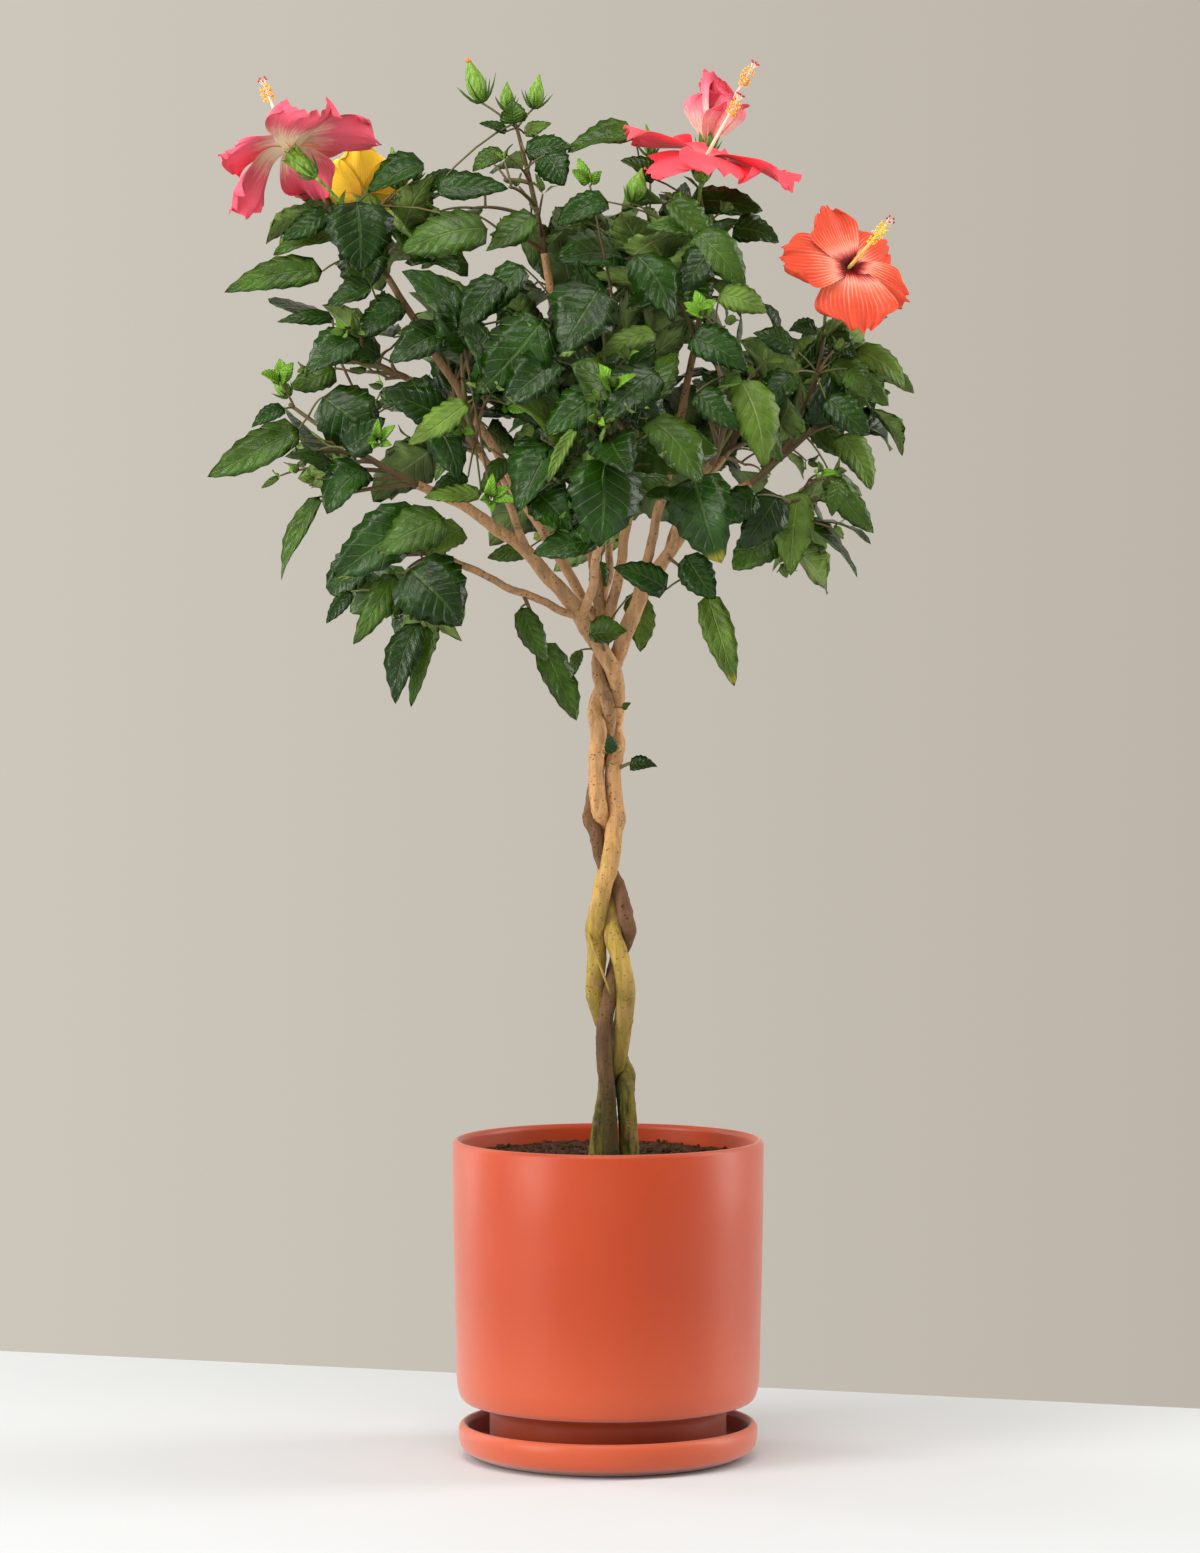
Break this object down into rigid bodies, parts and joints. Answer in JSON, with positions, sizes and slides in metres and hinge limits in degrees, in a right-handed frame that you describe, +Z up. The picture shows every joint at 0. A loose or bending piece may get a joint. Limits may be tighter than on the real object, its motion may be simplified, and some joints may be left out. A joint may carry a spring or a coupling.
{
  "type": "potted hibiscus shrub",
  "caption": "Flowering hibiscus standard with a braided three-stem trunk and a round leafy crown, planted in a plain cylindrical pot on a matching saucer.",
  "frame": {"origin": "centre of the saucer's flat underside, on the pot's axis", "axes": "+Z up along the trunk; +X to the right of someone facing the front of the plant; +Y away from them"},
  "size_m": [0.6031, 0.4954, 1.1662],
  "materials": {
    "pot_clay": "matt terracotta orange glaze",
    "soil": "dark crumbly potting mix",
    "bark": "tan bark with dark pores, greenish low down",
    "bark_dark": "darker grey-brown bark",
    "foliage": "glossy dark green leaves with coral and pink blooms"
  },
  "bodies": {
    "root": {"saucer": "pot_clay", "pot": "pot_clay", "soil": "soil", "stem_left_foot": "bark", "stem_dark": "bark_dark", "stem_right_foot": "bark", "bough_left": "bark", "bough_right": "bark", "bough_centre_left": "bark", "bough_left_up": "bark", "bough_centre": "bark", "bough_left_low": "bark", "bough_left_side": "bark", "bough_left_back": "bark", "bough_front_left": "bark", "bough_front": "bark", "bough_mid_right": "bark", "bough_front_right": "bark", "bough_right_low": "bark", "bough_right_back": "bark", "bough_back": "bark", "bough_back_top": "bark", "foliage_left": "foliage", "foliage_left_low": "foliage", "foliage_left_mid": "foliage", "foliage_left_top": "foliage", "foliage_top": "foliage", "foliage_top_right": "foliage", "foliage_right_top": "foliage", "foliage_right_low": "foliage", "foliage_front": "foliage", "foliage_front_left": "foliage", "foliage_front_right": "foliage", "foliage_core": "foliage", "foliage_back": "foliage", "foliage_back_left": "foliage", "foliage_back_right": "foliage", "foliage_back_top": "foliage", "spray_low_left": "foliage", "spray_low_right": "foliage", "spray_fork": "foliage", "spray_stem": "foliage"}
  },
  "joints": []
}
